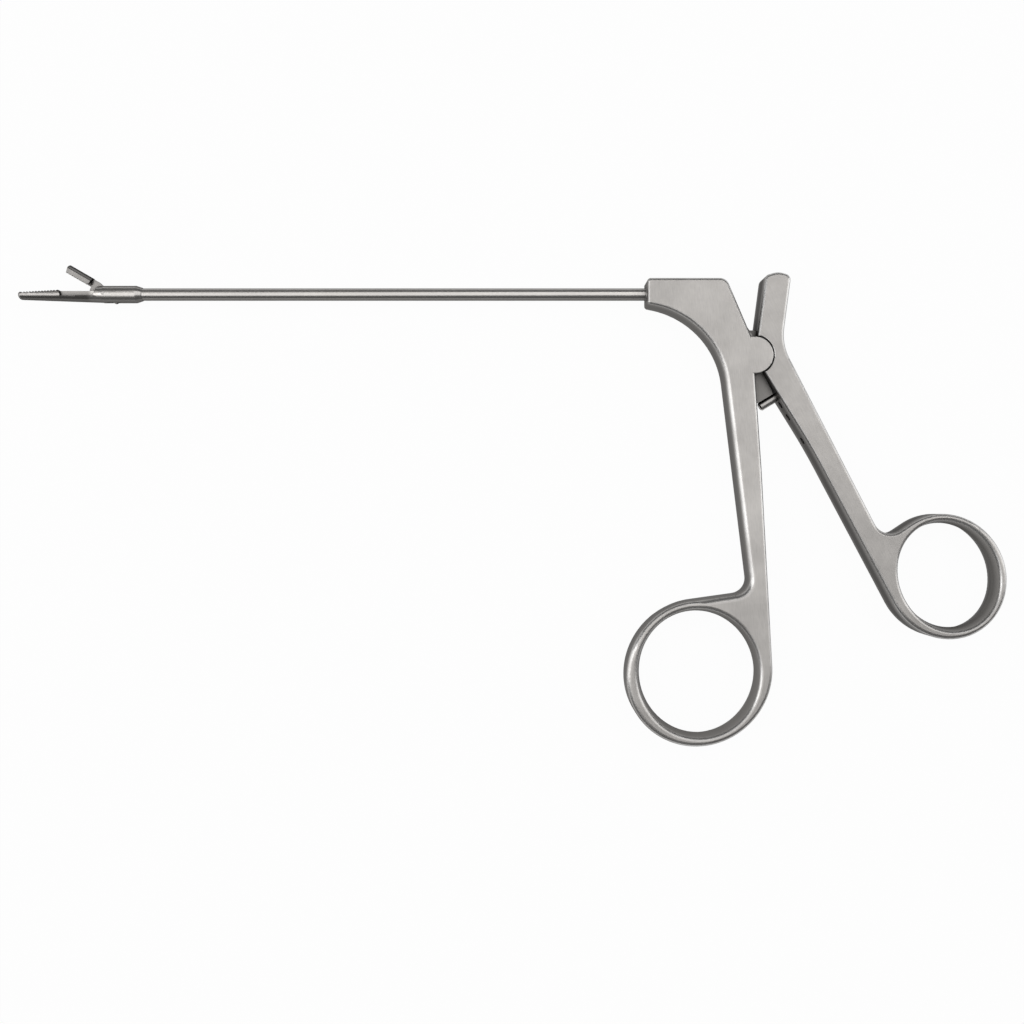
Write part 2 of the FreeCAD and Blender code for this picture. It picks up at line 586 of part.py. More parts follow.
def make_thumb_handle():
    opening = ((d.thumb_ring_x, d.thumb_ring_y), d.thumb_ring_long, d.thumb_ring_short, d.thumb_ring_tilt)
    rim = ((d.thumb_rim_x, d.thumb_rim_y), d.thumb_rim_long, d.thumb_rim_short, d.thumb_rim_tilt)
    shoulder = d.lobe_radius + d.shoulder_gap
    foot = (d.arm_foot, math.sqrt(shoulder ** 2 - d.arm_foot ** 2))
    waist = (d.waist_x, d.waist_y)
    arm_level = d.arm_rise - d.arm_crown
    arm_top = meeting(foot, 90 - d.arm_lean, (0, arm_level), 0)
    arm_back = meeting(waist, 90 - d.arm_lean, (0, arm_level), 0)
    corner = meeting(waist, -d.thumb_back_slope, (0, d.thumb_corner_y), 0)
    touch_back = tangent_from(corner, *rim, -1)
    inner_top = along((0, 0), d.inner_edge_angle, shoulder)
    bow = (d.inner_bow_x, d.inner_bow_y)
    touch_inner = tangent_from(bow, *rim, 1)
    corners = [
        (foot[0], foot[1], 0),
        (arm_top[0], arm_top[1], d.arm_corner),
        ((arm_top[0] + arm_back[0]) / 2, arm_level + 2 * d.arm_crown, d.crown_radius),
        (arm_back[0], arm_back[1], d.arm_corner),
        (waist[0], waist[1], d.waist_radius),
        (corner[0], corner[1], d.thumb_blend),
        (touch_back[0], touch_back[1], 0),
        (touch_inner[0], touch_inner[1], 0),
        (bow[0], bow[1], d.inner_bow_radius),
        (inner_top[0], inner_top[1], 0),
        (shoulder / 2, 0, 0),
    ]
    blank = handle_blank("thumb_blank", corners, rim)
    hollow = sketch(blank, "shoulder_outline", "XY_Plane", circle(0, 0, shoulder))
    hole_size(hollow, 0, "shoulder", "sizes.lobe_radius + sizes.shoulder_gap")
    pocket(blank, hollow, "shoulder_hollow", "2 * sizes.handle_thick")
    outside = round_outline("thumb_rounded", blank, thumb_size)
    opened = cut("thumb_opened", outside, flared_opening("thumb_opening", opening, d.thumb_flare))
    smooth = round_opening("thumb_smooth", opened, d.thumb_grip_round)
    # Tongue: hub round the pin, ear for the crank pin, and the web that hangs below the hub.
    hub = prism("tongue_hub", circle(0, 0, d.hub_radius), "sizes.tongue_thick")
    ear_end = along((0, 0), rest_crank, d.crank_radius)
    ear = prism("crank_ear", circle(ear_end[0], ear_end[1], d.crank_eye), "sizes.tongue_thick")
    overlap = shoulder + d.tongue_root
    ear_left = along(ear_end, 180 + rest_crank - 90, d.crank_eye)
    ear_over = along(ear_end, 90, d.crank_eye)
    neck = prism("crank_neck", rounded([
        (ear_left[0], ear_left[1], 0),
        (-d.hub_radius * 0.9, 0, 0),
        (0, -d.hub_radius * 0.9, 0),
        (d.hub_radius, -d.hub_radius * 0.8, 0),
        (overlap, -d.hub_radius * 0.3, 0),
        (overlap, ear_over[1], 0),
        (ear_over[0], ear_over[1], 0),
    ]), "sizes.tongue_thick")
    # The web's foot runs beside the stop peg, and then round at its full reach.
    foot_end = math.sqrt(d.web_reach ** 2 - d.web_foot_x ** 2)
    web = prism("tongue_web", rounded([
        (-d.hub_radius * 0.6, -d.hub_radius * 0.7, 0),
        (-d.web_back, -d.web_reach, 0),
        (d.web_foot_x, -foot_end, 0),
        (d.web_tip_x, -d.web_tip_y, d.web_corner),
        (d.hub_radius * 0.55, -d.hub_radius * 0.8, 0),
    ]), "sizes.tongue_thick")
    solid = join("thumb_solid", [smooth, hub, ear, neck, web])
    gap = 2 * d.drawbar_fit
    eye_room = d.crank_eye + d.slot_clearance
    fork = prism("crank_fork", rounded([
        (ear_end[0] + eye_room, ear_end[1] - eye_room * 0.2, 0),
        (ear_end[0] + eye_room, d.crank_radius + 3 * d.crank_eye, 0),
        (-3 * d.crank_radius, d.crank_radius + 3 * d.crank_eye, 0),
        (-3 * d.crank_radius, ear_end[1] - eye_room, 0),
        (ear_end[0], ear_end[1] - eye_room, 0),
    ]), "sizes.drawbar_thick + %s" % gap)
    hinge_hole = cross_hole("thumb_hinge_hole", "sizes.hinge_pin_radius + sizes.pin_clearance", "0", "0")
    crank_hole = cross_hole("crank_hole", "sizes.crank_pin_radius", "%s" % crank_x, "%s" % crank_y)
    peg_hole = peg_cylinder("peg_hole", "sizes.peg_radius", 0.0, d.peg_seat, 1.0)
    spares = [peg_cylinder("spare_hole_%d" % i, "sizes.spare_hole_radius", step, d.spare_hole_depth, 1.0)
              for i, step in enumerate((d.spare_step_1, d.spare_step_2, d.spare_step_3), start=1)]
    handle = cut("thumb_cut", solid, [fork, hinge_hole, crank_hole, peg_hole] + spares)
    return finish(handle, "thumb_handle")


def peg_foot(step):
    # A point on the thumb handle's inner edge, a step below the stop peg, and the edge's direction.
    shoulder = d.lobe_radius + d.shoulder_gap
    top = along((0, 0), d.inner_edge_angle, shoulder)
    slope = math.degrees(math.atan2(d.inner_bow_y - top[1], d.inner_bow_x - top[0]))
    return along(top, slope, d.peg_distance - shoulder + step), slope


def peg_cylinder(name, radius, step, inside, outside):
    # A round piece square to the thumb handle's inner edge.
    foot, slope = peg_foot(step)
    start = along(foot, slope + 90, inside)
    piece = doc.addObject("Part::Cylinder", name)
    piece.setExpression("Radius", radius)
    piece.Height = inside + outside
    turn = Rotation(Vector(0, 0, 1), slope - 90).multiply(Rotation(Vector(0, 1, 0), 90))
    piece.Placement = Placement(Vector(start[0], start[1], 0), turn)
    return piece


def make_stop_peg():
    peg = peg_cylinder("peg_rod", "sizes.peg_radius", 0.0, d.peg_seat, d.peg_length)
    doc.recompute()
    shaped = doc.addObject("Part::Chamfer", "peg_shaped")
    shaped.Base = peg
    foot, slope = peg_foot(0.0)
    tip = along(foot, slope - 90, d.peg_length)
    ring = []
    for number, edge in enumerate(peg.Shape.Edges, start=1):
        if edge.BoundBox.Center.distanceToPoint(Vector(tip[0], tip[1], 0)) < d.peg_radius / 2:
            ring.append((number, d.peg_chamfer, d.peg_chamfer))
    shaped.Edges = ring
    return finish(shaped, "stop_peg")


def pin_across(name, radius, length, x, y):
    # A pin across the middle plane, as a body padded to both sides.
    body = new_body(name)
    drawing = sketch(body, name + "_circle", "XY_Plane", circle(0, 0, 1.0))
    hole_size(drawing, 0, "radius", radius)
    pad(body, drawing, name + "_pad", length)
    return finish(body, name, x, y)


def make_tube():
    body = new_body("tube")
    drawing = sketch(body, "tube_section", "YZ_Plane",
                     circle(0, 0, d.tube_radius) + circle(0, 0, d.tube_bore))
    hole_size(drawing, 0, "outside", "sizes.tube_radius")
    hole_size(drawing, 1, "inside", "sizes.tube_bore")
    pad(body, drawing, "tube_pad", "%s" % (tube_end - tube_start), both=False)
    return finish(body, "outer_tube", "%s" % tube_start, "sizes.axis_height")


def make_guide(name, start):
    body = new_body(name + "_bush")
    drawing = sketch(body, name + "_section", "YZ_Plane",
                     circle(0, 0, d.tube_bore) + circle(0, 0, d.rod_radius + d.guide_clearance))
    hole_size(drawing, 0, "outside", "sizes.tube_bore")
    hole_size(drawing, 1, "inside", "sizes.rod_radius + sizes.guide_clearance")
    pad(body, drawing, name + "_pad", "sizes.guide_length", both=False)
    return finish(body, name, "%s" % start, "sizes.axis_height")


def toothed(start, end, pitch, depth, flat):
    # A row of blunt teeth between two points: crests on the line, valleys off it by the depth.
    run = math.hypot(end[0] - start[0], end[1] - start[1])
    count = int(run / pitch)
    slope = math.degrees(math.atan2(end[1] - start[1], end[0] - start[0]))
    points = []
    for i in range(count):
        points.append(along(start, slope, i * pitch))
        points.append(along(start, slope, i * pitch + flat))
        low = along(start, slope, (i + 0.5) * pitch + flat / 2)
        points.append(along(low, slope - 90, depth))
    points.append(along(start, slope, count * pitch))
    points.append(end)
    return points


def make_fixed_jaw():
    body = new_body("jaw_and_housing")
    back = d.housing_back + d.cone_length
    profile = rounded([
        (-d.jaw_reach, 0, 0),
        (-d.jaw_reach, d.nose_radius, d.nose_round),
        (-d.cheek_step, d.neck_radius, 0),
        (-d.cheek_step, d.housing_radius, 0),
        (d.housing_back, d.housing_radius, d.cone_corner),
        (back, d.cone_end_radius, 0),
        (back, 0, 0),
    ])
    revolve(body, sketch(body, "jaw_profile", "XY_Plane", profile), "jaw_turned", "X_Axis")
    # Above the toothed land, the neck and the housing's sloping front.
    teeth = toothed((-d.jaw_reach + d.nose_flat, d.land_low), (-d.land_start, d.land_high),
                    d.tooth_pitch, d.tooth_depth, d.tooth_flat)
    over = 2 * d.housing_radius
    clear = teeth + [
        (-d.land_start + d.land_back_lean * 0.2, d.rib_top),
        (-d.cheek_foot + (d.cheek_foot - d.cheek_top) * 0.3, d.rib_top),
        (-d.cheek_top, d.housing_radius),
        (-d.cheek_top, over),
        (-d.jaw_reach - 1, over),
        (-d.jaw_reach - 1, d.land_low - d.nose_height),
        (-d.jaw_reach + d.nose_skim, d.land_low - d.nose_height),
    ]
    outline = [(x, y, 0) for x, y in clear] + [(-d.jaw_reach + d.nose_skim, d.land_low, d.nose_top_round)]
    top = sketch(body, "jaw_top_outline", "XY_Plane", rounded(outline))
    pocket(body, top, "jaw_top", "4 * sizes.housing_radius")
    # Both sides of the neck, down to the ledges that the upper jaw closes over.
    sides = [
        (-d.land_start, d.land_high + 0.5, 0),
        (-d.land_start + d.land_back_lean, -d.ledge_drop, 0),
        (-d.cheek_foot, -d.ledge_drop, 0),
        (-d.cheek_foot, 0, 0),
        (-d.cheek_top, d.housing_radius, 0),
        (-d.cheek_top, over, 0),
        (-d.land_start, over, 0),
    ]
    for mark, lift, backwards in (("near", d.rib_thick / 2, True), ("far", -d.rib_thick / 2, False)):
        side = sketch(body, "neck_%s_outline" % mark, "XY_Plane", rounded(sides), lift)
        pocket(body, side, "neck_%s_side" % mark, "2 * sizes.housing_radius", both=False, backwards=backwards)
    # Grooves under the nose.
    count = int((d.serration_start - d.serration_end) / d.serration_pitch)
    lean = math.degrees(math.atan2(d.neck_radius - d.nose_radius, d.jaw_reach - d.cheek_step))
    for number in range(count):
        x = -d.serration_start + number * d.serration_pitch
        low = -d.nose_radius - (d.jaw_reach + x) * math.tan(math.radians(lean))
        wide = d.serration_pitch * 0.35
        groove = sketch(body, "groove_%d_outline" % number, "XY_Plane", rounded([
            (x - wide, low - wide, 0),
            (x + wide, low - wide, 0),
            (x, low + d.serration_depth, 0),
        ]))
        pocket(body, groove, "groove_%d" % number, "4 * sizes.housing_radius")
    # Slot for the ear and the tail, open at the top and under the tail.
    rim = d.ear_reach + d.rib_gap
    top_left = along((0, 0), 180 - d.slot_top_turn, rim)
    low_left = along((0, 0), 180 + math.degrees(math.asin(d.relief_drop / rim)), rim)
    arc_middle = along((0, 0), 180, rim)
    inside = [
        Part.Arc(Vector(top_left[0], top_left[1], 0), Vector(arc_middle[0], arc_middle[1], 0),
                 Vector(low_left[0], low_left[1], 0)),
    ]
    path = [
        low_left,
        (d.window_start, -d.relief_drop),
        (d.window_start, -over),
        (d.window_end, -over),
        (d.window_end, over),
        (top_left[0], over),
        top_left,
    ]
    for first, last in zip(path, path[1:]):
        inside.append(Part.LineSegment(Vector(first[0], first[1], 0), Vector(last[0], last[1], 0)))
    slot = sketch(body, "ear_slot_outline", "XY_Plane", inside)
    pocket(body, slot, "ear_slot", "sizes.ear_thick + 2 * sizes.ear_gap")
    # Bore for the rod head, then the wider socket for the tube.
    for mark, radius, start, end in (
        ("head_bore", bore_radius, d.window_start, tube_start + d.jaw_pivot_reach),
        ("tube_socket", d.tube_radius, tube_start + d.jaw_pivot_reach, back),
    ):
        drawing = sketch(body, mark + "_outline", "YZ_Plane", circle(0, 0, radius), end)
        pocket(body, drawing, mark, "%s" % (end - start), both=False)
    hole = sketch(body, "jaw_pin_outline", "XY_Plane", circle(0, 0, d.jaw_pin_radius))
    hole_size(hole, 0, "radius", "sizes.jaw_pin_radius")
    pocket(body, hole, "jaw_pin_hole", "4 * sizes.housing_radius")
    return finish(body, "fixed_jaw", "-sizes.jaw_pivot_reach", "sizes.axis_height")


def cam_point(share):
    # Middle of the cam slot in the closed jaw, for a share of the closing travel.
    return turned((d.cam_start + travel * share, 0), d.jaw_swing * (1 - share))


def cam_band(radius):
    # Outline of the cam slot widened to a radius: two arcs and two round ends.
    points = [cam_point(0.0), cam_point(0.5), cam_point(1.0)]
    across = []
    for share in (0.0, 0.5, 1.0):
        a, b = cam_point(share - 0.01), cam_point(share + 0.01)
        way = Vector(b[0] - a[0], b[1] - a[1], 0).normalize()
        across.append((Vector(-way.y, way.x, 0) * radius, way * radius))
    upper = [Vector(p[0], p[1], 0) + n[0] for p, n in zip(points, across)]
    lower = [Vector(p[0], p[1], 0) - n[0] for p, n in zip(points, across)]
    start = Vector(points[0][0], points[0][1], 0) - across[0][1]
    end = Vector(points[2][0], points[2][1], 0) + across[2][1]
    return [Part.Arc(upper[0], upper[1], upper[2]), Part.Arc(upper[2], end, lower[2]),
            Part.Arc(lower[2], lower[1], lower[0]), Part.Arc(lower[0], start, upper[0])]


def make_upper_jaw():
    body = new_body("upper_jaw_closed")
    # Bar: round top, flat sides, padded along X and then cut to its toothed profile.
    half = d.upper_width / 2
    edge_y = math.sqrt(d.upper_top ** 2 - half ** 2)
    left, right = Vector(edge_y, half, 0), Vector(edge_y, -half, 0)
    low = d.upper_bite - 1
    section = [
        Part.Arc(left, Vector(d.upper_top, 0, 0), right),
        Part.LineSegment(right, Vector(low, -half, 0)),
        Part.LineSegment(Vector(low, -half, 0), Vector(low, half, 0)),
        Part.LineSegment(Vector(low, half, 0), left),
    ]
    bar = sketch(body, "bar_section", "YZ_Plane", section, -d.upper_heel)
    pad(body, bar, "bar", "sizes.upper_reach - sizes.upper_heel", both=False, backwards=True)
    teeth = toothed((-d.upper_reach + d.upper_lean, d.upper_bite), (-d.upper_heel - d.heel_round, d.upper_bite),
                    d.upper_pitch, -d.upper_depth, d.tooth_flat)
    under = [(x, y, 0) for x, y in teeth] + [
        (-d.upper_heel, d.upper_bite + d.heel_round, 0),
        (-d.upper_heel + 1, d.upper_bite + d.heel_round, 0),
        (-d.upper_heel + 1, low - 1, 0),
        (-d.upper_reach - 1, low - 1, 0),
        (-d.upper_reach - 1, d.upper_top + 1, 0),
        (-d.upper_reach, d.upper_top + 1, 0),
        (-d.upper_reach, d.upper_top - d.upper_tip_round, d.upper_tip_round),
    ]
    pocket(body, sketch(body, "teeth_outline", "XY_Plane", rounded(under)), "teeth", "2 * sizes.upper_width")
    groove_half = d.rib_thick / 2 + d.rib_clearance
    groove_top = d.rib_top + d.rib_clearance
    groove = sketch(body, "groove_section", "YZ_Plane", rounded([
        (low - 1, -groove_half, 0),
        (low - 1, groove_half, 0),
        (groove_top, groove_half, 0),
        (groove_top, -groove_half, 0),
    ]), -d.upper_heel)
    pocket(body, groove, "rib_groove", "sizes.upper_reach", both=False, backwards=False)
    # Ear and tail, one thin plate; the ear's front edge is an arc about the jaw pin.
    high = along((0, 0), d.ear_top_turn, d.ear_reach)
    mid = along((0, 0), (d.ear_top_turn + d.ear_low_turn) / 2, d.ear_reach)
    low_end = along((0, 0), d.ear_low_turn, d.ear_reach)
    edge = [Part.Arc(Vector(high[0], high[1], 0), Vector(mid[0], mid[1], 0), Vector(low_end[0], low_end[1], 0))]
    path = [
        low_end,
        (-d.ear_hook, -d.ear_hook_drop),
        (0, -d.ear_radius),
        (0, d.ear_radius),
        (-d.ear_shoulder, d.upper_top - d.ear_top_drop),
        (-d.upper_heel - d.ear_root, d.upper_top - d.ear_top_drop),
        (-d.upper_heel - d.ear_root, high[1]),
        high,
    ]
    for first, last in zip(path, path[1:]):
        edge.append(Part.LineSegment(Vector(first[0], first[1], 0), Vector(last[0], last[1], 0)))
    ear = sketch(body, "ear_outline", "XY_Plane", edge)
    pad(body, ear, "ear", "sizes.ear_thick")
    knuckle = sketch(body, "knuckle_outline", "XY_Plane", circle(0, 0, d.ear_radius))
    hole_size(knuckle, 0, "radius", "sizes.ear_radius")
    pad(body, knuckle, "knuckle", "sizes.ear_thick")
    wall = d.cam_pin_radius + d.cam_clearance + d.tail_wall
    pad(body, sketch(body, "tail_outline", "XY_Plane", cam_band(wall)), "tail", "sizes.ear_thick")
    slot = sketch(body, "cam_outline", "XY_Plane", cam_band(d.cam_pin_radius + d.cam_clearance))
    pocket(body, slot, "cam_slot", "2 * sizes.ear_thick")
    hole = sketch(body, "upper_pin_outline", "XY_Plane", circle(0, 0, d.jaw_pin_radius + d.pin_clearance))
    hole_size(hole, 0, "radius", "sizes.jaw_pin_radius + sizes.pin_clearance")
    pocket(body, hole, "upper_pin_hole", "2 * sizes.ear_thick")
    return finish(body, "upper_jaw", "-sizes.jaw_pivot_reach", "sizes.axis_height", -d.jaw_swing)


def make_rod():
    body = new_body("rod")
    drawing = sketch(body, "rod_section", "YZ_Plane", circle(0, 0, d.rod_radius))
    hole_size(drawing, 0, "radius", "sizes.rod_radius")
    pad(body, drawing, "rod_pad", "%s" % (rod_stop - rod_start), both=False)
    return finish(body, "pull_rod", "%s" % rod_start, "sizes.axis_height")


def fork_piece(name, label, length, slot_length, slot_width, socket, start, slot_at_front, holes, hole_radius):
    # A round fitting with a slot at one end, a socket for the rod at the other and cross holes.
    body = new_body(name)
    section = sketch(body, name + "_section", "YZ_Plane", circle(0, 0, d.head_radius))
    hole_size(section, 0, "radius", "sizes.head_radius")
    pad(body, section, name + "_round", "%s" % length, both=False)
    near, far = (-1, slot_length) if slot_at_front else (length - slot_length, length + 1)
    over = 2 * d.head_radius
    drawing = sketch(body, name + "_slot_outline", "XY_Plane",
                     rounded([(near, -over, 0), (far, -over, 0), (far, over, 0), (near, over, 0)]))
    pocket(body, drawing, name + "_slot", slot_width)
    at = length if slot_at_front else socket
    bore = sketch(body, name + "_socket_outline", "YZ_Plane", circle(0, 0, d.rod_radius), at)
    hole_size(bore, 0, "radius", "sizes.rod_radius")
    pocket(body, bore, name + "_socket", "%s" % socket, both=False)
    for number, x in enumerate(holes):
        hole = sketch(body, "%s_hole_%d_outline" % (name, number), "XY_Plane", circle(x, 0, hole_radius))
        pocket(body, hole, "%s_hole_%d" % (name, number), "4 * sizes.head_radius")
    return finish(body, label, "%s" % start, "sizes.axis_height")


def make_drawbar():
    half = d.drawbar_width / 2
    front = -d.rod_end_reach - d.drawbar_grip
    corners = [
        (front, d.axis_height + half, d.drawbar_corner),
        (front, d.axis_height - half, d.drawbar_corner),
        (-d.drawbar_knee - d.drawbar_width, d.axis_height - half, d.drawbar_bend),
        (crank_x - d.crank_eye * 0.75, crank_y - d.crank_eye * 0.55, 0),
        (crank_x + d.crank_eye * 0.55, crank_y + d.crank_eye * 0.7, 0),
        (-d.drawbar_knee, d.axis_height + half, d.drawbar_shoulder),
    ]
    body = new_body("drawbar_plate")
    pad(body, sketch(body, "drawbar_outline", "XY_Plane", rounded(corners)), "drawbar_pad",
        "sizes.drawbar_thick")
    eye = sketch(body, "drawbar_eye_outline", "XY_Plane", circle(crank_x, crank_y, d.crank_eye - 0.1))
    pad(body, eye, "drawbar_eye", "sizes.drawbar_thick")
    hole = sketch(body, "drawbar_hole_outline", "XY_Plane",
                  circle(crank_x, crank_y + d.crank_lift, d.crank_pin_radius + d.crank_play))
    hole_size(hole, 0, "radius", "sizes.crank_pin_radius + sizes.crank_play")
    pocket(body, hole, "drawbar_hole", "2 * sizes.drawbar_thick")
    for number, x in enumerate(rivet_places):
        rivet = sketch(body, "drawbar_rivet_%d_outline" % number, "XY_Plane",
                       circle(x, d.axis_height, d.rivet_radius))
        pocket(body, rivet, "drawbar_rivet_%d" % number, "2 * sizes.drawbar_thick")
    return finish(body, "drawbar")


def make_rivets():
    body = new_body("rivets")
    for number, x in enumerate(rivet_places):
        drawing = sketch(body, "rivet_%d_outline" % number, "XY_Plane", circle(x, d.axis_height, d.rivet_radius))
        body.AllowCompound = True
        pad(body, drawing, "rivet_%d" % number, "%s" % rivet_length)
    return finish(body, "drawbar_pins")


def make_nut():
    body = new_body("nut")
    corner = d.head_radius
    points = [along((0, 0), 60 * i, corner) for i in range(6)]
    drawing = sketch(body, "nut_section", "YZ_Plane", rounded([(x, y, 0) for x, y in points])
                     + circle(0, 0, d.rod_radius))
    pad(body, drawing, "nut_pad", "sizes.nut_length", both=False)
    return finish(body, "rod_lock_nut", "-sizes.rod_end_reach - sizes.rod_end_length - sizes.nut_length",
                  "sizes.axis_height")


# Stations along the shaft, measured from the hinge.
cam_rest = -d.jaw_pivot_reach + d.cam_start
tube_start = -d.jaw_pivot_reach + d.housing_back + d.cone_length - d.tube_socket
tube_end = -d.body_reach + d.tube_seat
head_start = cam_rest - d.head_nose
head_length = d.head_nose + d.head_slot + d.head_web
rod_start = head_start + head_length - d.rod_socket
rod_stop = -d.rod_end_reach - d.rod_end_length + d.rod_end_socket
rivet_places = [-d.rod_end_reach - d.rivet_margin, -d.rod_end_reach - d.drawbar_grip + d.rivet_margin]
rivet_length = 2 * math.sqrt(d.head_radius ** 2 - d.rivet_radius ** 2)

make_fixed_handle()
make_thumb_handle()
pin_across("handle_pivot_pin", "sizes.hinge_pin_radius", "sizes.handle_thick", "0", "0")
make_stop_peg()
make_tube()
make_fixed_jaw()
make_upper_jaw()
pin_across("jaw_pivot_pin", "sizes.jaw_pin_radius", "2 * (sizes.housing_radius - 0.1)",
           "-sizes.jaw_pivot_reach", "sizes.axis_height")
make_rod()
fork_piece("head", "rod_head", head_length, d.head_nose + d.head_slot, "sizes.ear_thick + 2 * sizes.ear_gap",
           d.rod_socket, head_start, True, [d.head_nose], d.cam_pin_radius)
pin_across("cam_pin", "sizes.cam_pin_radius",
           "2 * sqrt(sizes.head_radius * sizes.head_radius - sizes.cam_pin_radius * sizes.cam_pin_radius)",
           "%s" % cam_rest, "sizes.axis_height")
for guide, start in (("front_rod_guide", tube_start + travel + d.head_web),
                     ("middle_rod_guide", (tube_start + tube_end - d.guide_length) / 2),
                     ("rear_rod_guide", tube_end - d.guide_length)):
    make_guide(guide, start)
fork_piece("end", "rod_end", d.rod_end_length, d.drawbar_grip, "sizes.drawbar_thick", d.rod_end_socket,
           -d.rod_end_reach - d.rod_end_length, False,
           [x + d.rod_end_reach + d.rod_end_length for x in rivet_places], d.rivet_radius)
make_nut()
make_drawbar()
make_rivets()
pin_across("crank_pin", "sizes.crank_pin_radius", "sizes.tongue_thick", "%s" % crank_x, "%s" % crank_y)

doc.recompute()
for item in doc.Objects:
    if "Invalid" in item.State or "Error" in item.State:
        raise SystemExit("failed: %s %s" % (item.Name, item.State))
os.makedirs("parts", exist_ok=True)
for node in nodes:
    shape = node.Shape
    if shape.isNull() or not shape.isValid() or shape.Volume <= 0:
        raise SystemExit("bad shape: " + node.Label)
for node in nodes:
    node.Shape.exportStep("parts/%s.step" % node.Label)
    print(node.Label, len(node.Shape.Solids), round(node.Shape.Volume, 2))
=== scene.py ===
import math

import bpy
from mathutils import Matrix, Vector


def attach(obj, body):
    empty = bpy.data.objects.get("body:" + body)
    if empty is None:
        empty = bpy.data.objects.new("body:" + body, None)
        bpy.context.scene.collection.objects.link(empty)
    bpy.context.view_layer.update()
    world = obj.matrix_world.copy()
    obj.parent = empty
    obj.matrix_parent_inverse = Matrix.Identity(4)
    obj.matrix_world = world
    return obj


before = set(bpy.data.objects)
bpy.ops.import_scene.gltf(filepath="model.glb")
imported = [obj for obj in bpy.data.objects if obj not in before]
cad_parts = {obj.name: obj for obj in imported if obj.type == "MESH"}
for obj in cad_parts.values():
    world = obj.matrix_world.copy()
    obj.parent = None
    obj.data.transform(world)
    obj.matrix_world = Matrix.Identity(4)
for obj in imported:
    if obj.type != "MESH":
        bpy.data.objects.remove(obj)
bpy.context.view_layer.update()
print("stage: frame loaded")

# The camera looks straight down on the forceps, which lies on its side.
cameraLook = {
    "place": (-0.05724, -0.03702, 0.27866),
    "lens": 40.43, "sensor": 36.0,  # in millimetres
    "near": 0.01, "far": 10.0,
}


def addCamera():
    data = bpy.data.cameras.new("photoCamera")
    data.lens = cameraLook["lens"]
    data.sensor_width = cameraLook["sensor"]
    data.clip_start = cameraLook["near"]
    data.clip_end = cameraLook["far"]
    cam = bpy.data.objects.new("photoCamera", data)
    cam.location = cameraLook["place"]
    bpy.context.scene.collection.objects.link(cam)
    bpy.context.scene.camera = cam


addCamera()
print("stage: camera")


# Small helpers for wiring shader nodes.
class Wiring:
    def __init__(self, tree):
        self.tree = tree
        tree.nodes.clear()

    def add(self, kind, inputs=None, **settings):
        node = self.tree.nodes.new("ShaderNode" + kind)
        for key, value in settings.items():
            setattr(node, key, value)
        for key, value in (inputs or {}).items():
            if isinstance(value, bpy.types.NodeSocket):
                self.tree.links.new(value, node.inputs[key])
            else:
                node.inputs[key].default_value = value
        return node

    def math(self, operation, first, second):
        return self.add("Math", {0: first, 1: second}, operation=operation).outputs[0]

    def absolute(self, value):
        return self.add("Math", {0: value}, operation="ABSOLUTE").outputs[0]

    def mapRange(self, value, span, low, high):
        # Carries the span's two ends to low and high, and stays there beyond them.
        inputs = {"Value": value, "From Min": span[0], "From Max": span[1], "To Min": low, "To Max": high}
        return self.add("MapRange", inputs).outputs["Result"]

    def noise(self, vector, scale, detail, roughness=0.5):
        inputs = {"Vector": vector, "Scale": scale, "Detail": detail, "Roughness": roughness}
        return self.add("TexNoise", inputs).outputs["Fac"]

    def blend(self, share, first, second, kind="MIX"):
        # A colour Mix node has its two colours on sockets 6 and 7, and its result on output 2.
        return self.add("Mix", {0: share, 6: first, 7: second}, data_type="RGBA", blend_type=kind).outputs[2]

    def evenColour(self, value):
        return self.add("CombineColor", {0: value, 1: value, 2: value}).outputs[0]


# The satin of the handles, from which the other finishes differ. Lengths are in metres.
satin = {
    "grainTurn": 96,  # direction of the grinding marks about Z, in degrees
    "grainLength": 0.0026, "grainWidth": 0.0002,
    "grainShare": 0.4,  # of the shading, and the rest of it is clouding
    "cloudSize": 0.011, "pitSize": 0.0003,
    "dark": 0.405, "light": 0.575, "warm": 0.04,  # ground faces
    "bright": 0.72, "wearSheen": 0.35,  # polish on the rounded edges, partly real wear and partly a painted highlight
    "cornerShade": 0.6, "cornerShadeReach": 0.004, "cornerShadeSamples": 8,  # painted shade in the corners
    "sideFrom": 0.4, "sideTo": 0.86,  # facing at which a side turns into a ground face
    "sideShare": 0.8, "sideShade": 0.13, "sideRough": 0.1, "sideTint": 0.4,
    "sideLift": 0.0,  # how much lighter the painted shade on the sides is next to both faces
    "middle": 0.004, "groundFrom": 0.0036,  # height of the middle plane, and from there to the ground faces
    "sunkShare": 0.0,  # how much painted shade the faces below the ground ones get, as the sides do
    "dullTo": 0.0, "dullShare": 0.0, "dullShade": 0.25,  # the dull end lies left of dullTo
    "smoothest": 0.3, "roughest": 0.38,
    "grainRelief": 0.6, "pitRelief": 0.5, "reliefDepth": 0.0000015,
}
